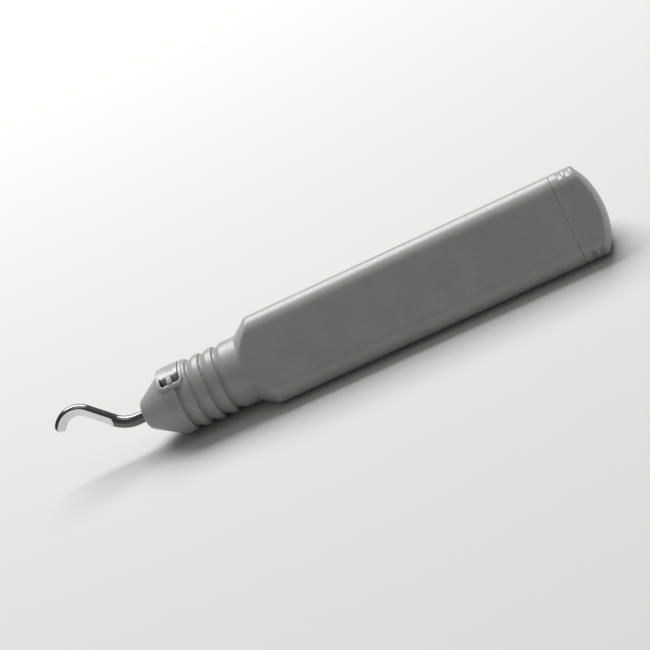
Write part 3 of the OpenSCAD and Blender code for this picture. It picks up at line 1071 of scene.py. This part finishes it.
@dataclass
class Blades(Assembly):
    """The fitted swivel blade and the two spare blades, all of one shape."""

    around: int = 72
    shank_r: float = 1.6
    shank_in: float = 15.3
    end_round: float = 0.3
    lead: float = 2.36
    bend_r: float = 8.6
    bend: float = math.radians(43)
    edge_len: float = 7.56
    hook_r: float = 5.3
    hook: float = math.radians(98)
    tip_len: float = 1.6
    tip_power: float = 2.4
    groove_at: float = -11.1
    groove_r: float = 1.05
    groove_w: float = 1.1
    groove_slope: float = 0.01
    ground_before: float = 0.5
    ground_run: float = 1.3
    ground_side: float = 1.3
    ground_clear: float = 1.66
    ground_depth: float = 0.71
    mark_span: float = 0.25
    mark_most: float = 3.0
    turned: float = math.radians(-20)
    spare_end: float = 113.75

    def stretches(self) -> Array:
        """Where the blade's lead, bend, straight edge, hook and tip end, along the blade."""
        bend, hook = self.bend_r * self.bend, self.hook_r * self.hook
        return np.cumsum([self.lead, bend, self.edge_len, hook, self.tip_len])

    def path(self) -> tuple[Array, Array, Array, Array]:
        """Centre line of the blade in its own plane.

        Returns:
            Distance along the blade from the nose's front face, forward place, sideways place
            and heading, at each ring.
        """
        ends, half = self.stretches(), self.groove_w / 2
        front, back = self.groove_at - half, self.groove_at + half
        shank = [-self.shank_in, -self.shank_in + self.end_round]
        shank += [front - self.groove_slope, front, back, back + self.groove_slope]
        tip = ends[3] + self.tip_len * np.sin(np.linspace(0.15, QUARTER, 9))
        bends = np.linspace(0.0, ends[3], 110)
        run = np.concatenate([shank, np.arange(-9.0, 0.0, 1.0), bends, tip])
        fine = np.linspace(run[0], run[-1], 8001)
        curve = np.where((fine > self.lead) & (fine <= ends[1]), 1 / self.bend_r, 0.0)
        curve = np.where((fine > ends[2]) & (fine <= ends[3]), -1 / self.hook_r, curve)

        def total(rate: Array) -> Array:
            """Adds up a rate of change along the blade."""
            return np.concatenate([[0.0], np.cumsum(rate[:-1]) * (fine[1] - fine[0])])

        heading = total(curve)
        places = (fine[0] + total(np.cos(heading)), total(np.sin(heading)), heading)
        forward, aside, way = (np.interp(run, fine, values) for values in places)
        return run, forward, aside, way

    def section(self, run: float) -> tuple[Array, Array]:
        """Section of the blade at a distance along it.

        Args:
            run: Distance from the nose's front face.

        Returns:
            The radius at each angle from the cutting edge's side, and a mark above 0 where it
            is ground.
        """
        angles = turn(self.around)
        bend_end, tip_at = self.stretches()[[1, 3]]
        plain = self.shank_r
        if run < -self.shank_in + self.end_round / 3:
            plain -= self.end_round
        if abs(run - self.groove_at) < (self.groove_w + self.groove_slope) / 2:
            plain = self.groove_r
        fade = smooth_step((run - bend_end + self.ground_before) / self.ground_run)
        slope = np.cos(angles) + self.ground_side * np.abs(np.sin(angles))
        plane = self.shank_r * (self.ground_clear - self.ground_depth * fade)
        ground = np.where(slope > TINY, plane / np.maximum(slope, TINY), 99.0)
        mark = np.clip((plain - ground) / self.mark_span, -self.mark_most, self.mark_most)
        radius = np.minimum(plain, ground)
        if run > tip_at:
            share = (run - tip_at) / self.tip_len
            radius = radius * math.sqrt(max(0.0, 1 - share**self.tip_power))
        return radius, mark

    def mesh(self, name: str, end: float, y: float, z: float, turned: float) -> Piece:
        """Models one blade in place.

        Args:
            name: The piece's name.
            end: Station of the shank's end.
            y: The shank's place across the tool.
            z: The shank's height above the axis.
            turned: Angle of its bends from straight up.

        Returns:
            The new object.
        """
        angles = turn(self.around)
        out = np.array([0.0, -math.sin(turned), math.cos(turned)])
        side = np.array([0.0, math.cos(turned), math.sin(turned)])
        ahead = np.array([-1.0, 0.0, 0.0])
        start = np.array([end - self.shank_in, y, z])
        rings, marks = [], []
        for here, forward, aside, way in zip(*self.path()):
            radius, mark = self.section(float(here))
            edge_way = ahead * math.sin(way) - out * math.cos(way)
            across = np.cos(angles)[:, None] * edge_way + np.sin(angles)[:, None] * side
            centre = start + ahead * forward + out * aside
            rings.append(centre + radius[:, None] * across)
            marks.append(mark)
        first, last = (np.broadcast_to(r[:-1].mean(0), r.shape) for r in (rings[0], rings[-1]))
        return self.wrap(name, [first, *rings, last], [marks[0], *marks, marks[-1]])

    def build(self) -> None:
        """Models all three blades and hands them over."""
        fitted = self.mesh("swivel_blade", self.shank_in, 0.0, 0.0, self.turned)
        self.hand_over(fitted, 33.0, "fitted_blade", "blade_steel", "blade")
        for number, (y, z) in enumerate(SPARE_PLACES, start=1):
            turned = math.copysign(QUARTER, y)
            spare = self.mesh(f"stored_blade_{number}", self.spare_end, y, z, turned)
            node = f"spare_blade_{number}"
            self.hand_over(spare, 33.0, f"spare_{number}", "blade_steel", node)


@dataclass
class EndCap(Assembly):
    """End cap with a domed end, its blade carrier and the carrier's rubber ring."""

    around: int = 240
    carrier_around: int = 180
    dome_r: float = 24.0
    edge: float = 0.7
    front_chamfer: float = 0.3
    groove_depth: float = 0.5
    groove_w: float = 1.1
    groove_pitch: float = 2.0
    groove_slope: float = 0.12
    groove_steep: float = 3.2
    carrier_r: float = 6.75
    carrier_corner: float = 2.7
    least_corner: float = 0.4
    stub_inset: float = 1.8
    stub_len: float = 6.0
    stub_gap: float = 0.03
    seal_back: float = 2.4
    seal_w: float = 1.6
    seal_depth: float = 1.2
    seal_reach: float = 0.08
    seal_gap: float = 0.02
    socket_r: float = 1.62
    socket_depth: float = 10.03

    def drop(self, radius: Array) -> Array:
        """How far the dome falls below its top at each radius."""
        return self.dome_r - np.sqrt(self.dome_r**2 - radius**2)

    def grooved(self, angles: Array, station: Array) -> Array:
        """Radius of the cap's side, with its two grooves across the corners.

        Args:
            angles: Angles round the axis.
            station: Station at each angle.

        Returns:
            The radius at each angle.
        """
        lay, depth = self.layout, np.zeros_like(angles)
        outer = triangle(angles, lay.flat_r, lay.corner_r)
        for number in (1, 2):
            middle = lay.grip_end + number * self.groove_pitch + self.groove_w / 2
            away = np.abs(station - middle) / (self.groove_w / 2 + self.groove_slope)
            near = np.clip(np.clip(1 - away, 0.0, 1.0) * self.groove_steep, 0.0, 1.0)
            depth = np.maximum(depth, self.groove_depth * near)
        blend = 0.1
        return np.minimum(outer, soft_min(outer, lay.corner_reach - depth + blend / 2, blend))

    def build_cap(self) -> None:
        """Models the cap and hands it over."""
        lay, angles = self.layout, turn(self.around)
        start, end, chamfer = lay.grip_end, lay.cap_end, self.front_chamfer
        stub_r = self.carrier_r - self.stub_inset + self.stub_gap
        hollow = triangle(angles, stub_r, self.carrier_corner + self.stub_gap)
        rings = [ring(angles, start + self.stub_len, radius) for radius in (0.0, hollow)]
        rings.append(ring(angles, start, hollow))
        for inset, ahead in ((0.35, 0.0), (0.1, 0.08), (0.0, chamfer)):
            rings.append(lay.side_ring(angles, start + ahead, inset))
        outer = triangle(angles, lay.flat_r, lay.corner_r)
        side_end = end - self.drop(outer) - self.edge
        for share in np.linspace(0.02, 1.0, 56):
            station = (start + chamfer) + (side_end - start - chamfer) * share
            rings.append(ring(angles, station, self.grooved(angles, station)))
        for swing in np.linspace(0.2, QUARTER, 7):
            inset = self.edge * (1 - math.cos(swing))
            rings.append(lay.side_ring(angles, side_end + self.edge * math.sin(swing), inset))
        inner = triangle(angles, lay.flat_r - self.edge, lay.corner_r - self.edge)
        for share in np.linspace(0.96, 0.0, 22):
            radius = inner * share
            station = end - self.drop(radius) + (self.drop(inner) - self.drop(outer)) * share**6
            rings.append(ring(angles, station, radius))
        piece = self.wrap("domed_cap", rings)
        self.hand_over(piece, 38.0, "cap", "handle_plastic", "end_cap")

    def build_carrier(self) -> None:
        """Models the blade carrier and hands it over."""
        lay, angles = self.layout, turn(self.carrier_around)
        front, back = lay.carrier_at, lay.grip_end
        seal, half = back - self.seal_back, self.seal_w / 2 + self.seal_gap
        profile = [(front, 0.5), (front + 0.12, 0.15), (front + 0.5, 0.0)]
        profile += [(seal - half, 0.0), (seal - half, self.seal_depth)]
        profile += [(seal + half, self.seal_depth), (seal + half, 0.0), (back, 0.0)]
        profile += [(back, self.stub_inset), (back + self.stub_len, self.stub_inset)]
        rings = [ring(angles, front, 0.0)]
        for station, inset in divided(profile, 1.5):
            corner = max(self.carrier_corner - inset, self.least_corner)
            if station >= back and inset >= self.stub_inset - TINY:
                corner = self.carrier_corner
            rings.append(ring(angles, station, triangle(angles, self.carrier_r - inset, corner)))
        rings.append(ring(angles, back + self.stub_len, 0.0))
        piece = self.wrap("blade_plug", rings)
        spare = 1.0
        for y, z in SPARE_PLACES:
            start, depth = (front - spare, y, z), self.socket_depth + spare
            join(piece, self.rod("socket", start, depth, self.socket_r, Way.ALONG, 72), Join.CUT)
        soften_edges(piece, 0.12, 60.0, 2)
        self.hand_over(piece, 36.0, "cap", "inner_plastic", "blade_carrier")

    def build_seal(self) -> None:
        """Models the rubber ring and hands it over."""
        angles, inner = turn(self.carrier_around), self.seal_gap - self.seal_depth
        middle, half = (inner + self.seal_reach) / 2, (self.seal_reach - inner) / 2
        rings = []
        for swing in turn(24):
            reach = middle + half * math.cos(swing)
            station = self.layout.grip_end - self.seal_back + self.seal_w / 2 * math.sin(swing)
            radius = triangle(angles, self.carrier_r + reach, self.carrier_corner + reach)
            rings.append(ring(angles, station, radius))
        piece = self.wrap("carrier_seal", rings)
        self.hand_over(piece, 60.0, "cap", "seal_rubber", "cap_ring")

    def build(self) -> None:
        """Models the cap, its carrier and its seal."""
        self.build_cap()
        self.build_carrier()
        self.build_seal()


@dataclass
class HolderParts(Assembly):
    """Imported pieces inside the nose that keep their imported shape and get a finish."""

    nodes: dict[str, Piece]

    def build(self) -> None:
        """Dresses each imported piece."""
        for name, use in (
            ("nose_ring", "spring_steel"),
            ("holder_block", "inner_plastic"),
            ("guide_bush", "bush"),
            ("retaining_clip", "spring_steel"),
            ("release_wedge", "bush"),
            ("thrust_ball", "ball"),
        ):
            self.nodes[name].data.materials.clear()
            self.nodes[name].data.materials.append(self.finishes[use])
            LOG.info("%s: packed shape, finish for %s", name, use)


# Studio


@dataclass(frozen=True)
class Softbox:
    """A soft area light: where it stands, how large it is and how strong."""

    name: str
    place: Place
    size: tuple[float, float]
    power: float
    aim: Place = (0.0, 0.0, 0.01)

    def build(self) -> None:
        """Adds the light."""
        light = bpy.data.lights.new(self.name, "AREA")
        light.shape = "RECTANGLE"
        light.size, light.size_y = self.size
        light.energy = self.power
        lamp = bpy.data.objects.new(self.name, light)
        bpy.context.scene.collection.objects.link(lamp)
        lamp.location = self.place
        ahead = Vector(self.aim) - Vector(self.place)
        lamp.rotation_euler = ahead.to_track_quat("-Z", "Y").to_euler()


@dataclass
class Studio:
    """Pale floor, soft light and the camera."""

    azimuth: float = math.radians(8.5)
    elevation: float = math.radians(25.0)
    roll: float = math.radians(28.4)
    lens: float = 85.0
    fill: float = 0.86
    near_end: float = 0.012
    floor_colour: Colour = (0.56, 0.56, 0.553)
    floor_r: float = 0.95
    floor_dim: float = 0.97
    floor_roughness: float = 0.75
    glow_colour: Colour = (0.8, 0.8, 0.8)
    glow: float = 0.22
    backdrop_colour: Colour = (0.74, 0.74, 0.735)

    def build(self) -> None:
        """Adds floor, lights, world and camera."""
        self.add_floor()
        for softbox in (
            Softbox("key_softbox", (-0.12, 0.85, 1.15), (1.5, 0.9), 34.0),
            Softbox("top_softbox", (0.10, -0.10, 1.10), (0.8, 0.5), 1.2),
            Softbox("front_fill", (-0.60, -0.95, 0.45), (0.6, 0.6), 0.25),
        ):
            softbox.build()
        self.add_world()
        bpy.context.scene.view_settings.view_transform = "Standard"
        self.add_camera()

    def add_world(self) -> None:
        """Adds dim light from all round, behind a pale backdrop that only the camera sees."""
        world = bpy.data.worlds.new("studio")
        bpy.context.scene.world = world
        world.use_nodes = True
        world.node_tree.nodes.clear()
        graph = Graph(world.node_tree)
        glow = graph.add("Background", {"Color": self.glow_colour, "Strength": self.glow})
        backdrop = graph.add("Background", {"Color": self.backdrop_colour, "Strength": 1.0})
        seen = graph.add("LightPath").outputs["Is Camera Ray"]
        mix = graph.add("MixShader", {0: seen, 1: glow.outputs[0], 2: backdrop.outputs[0]})
        graph.add("OutputWorld", {"Surface": mix.outputs[0]})

    def add_floor(self) -> None:
        """Adds the pale floor."""
        deselect()
        bpy.ops.mesh.primitive_circle_add(vertices=128, radius=self.floor_r, fill_type="NGON")
        floor = name_piece("studio_floor")
        material, graph, shader = start_material("floor_paper")
        dull = dim(self.floor_colour, self.floor_dim)
        colour = graph.blend(graph.noise(900.0, 3.0), dull, self.floor_colour)
        graph.feed(shader, {"Base Color": colour, "Roughness": self.floor_roughness})
        floor.data.materials.append(material)
        floor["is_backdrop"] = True

    def add_camera(self) -> None:
        """Adds the camera, far enough back to hold the tool and rolled so that it rises."""
        low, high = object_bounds()
        turns = ((self.azimuth, "Z"), (QUARTER - self.elevation, "X"), (-self.roll, "Z"))
        swung, tipped, rolled = (Matrix.Rotation(angle, 4, axis) for angle, axis in turns)
        look = swung @ tipped @ rolled
        camera = bpy.data.cameras.new("studio_camera")
        camera.lens = self.lens
        camera.clip_start = 0.01
        eye = bpy.data.objects.new("studio_camera", camera)
        bpy.context.scene.collection.objects.link(eye)
        half_view = math.atan(camera.sensor_width / 2 / camera.lens)
        half_width = (high.x - low.x) / 2 * math.cos(self.elevation) / self.fill
        distance = half_width / math.tan(half_view) + self.near_end
        eye.location = (low + high) / 2 + look.col[2].to_3d() * distance
        eye.rotation_euler = look.to_euler()
        bpy.context.scene.camera = eye


def main() -> None:
    """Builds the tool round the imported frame, then the studio."""
    logging.basicConfig(level=logging.INFO, format="%(name)s: %(message)s")
    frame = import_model()
    layout, finishes = Layout(), build_finishes()
    for assembly in (Handle, Nose, ReleaseButton, ButtonSprings, Blades, EndCap):
        assembly(layout, finishes).build()
    HolderParts(layout, finishes, frame["nodes"]).build()
    Studio().build()


if __name__ == "__main__":
    main()
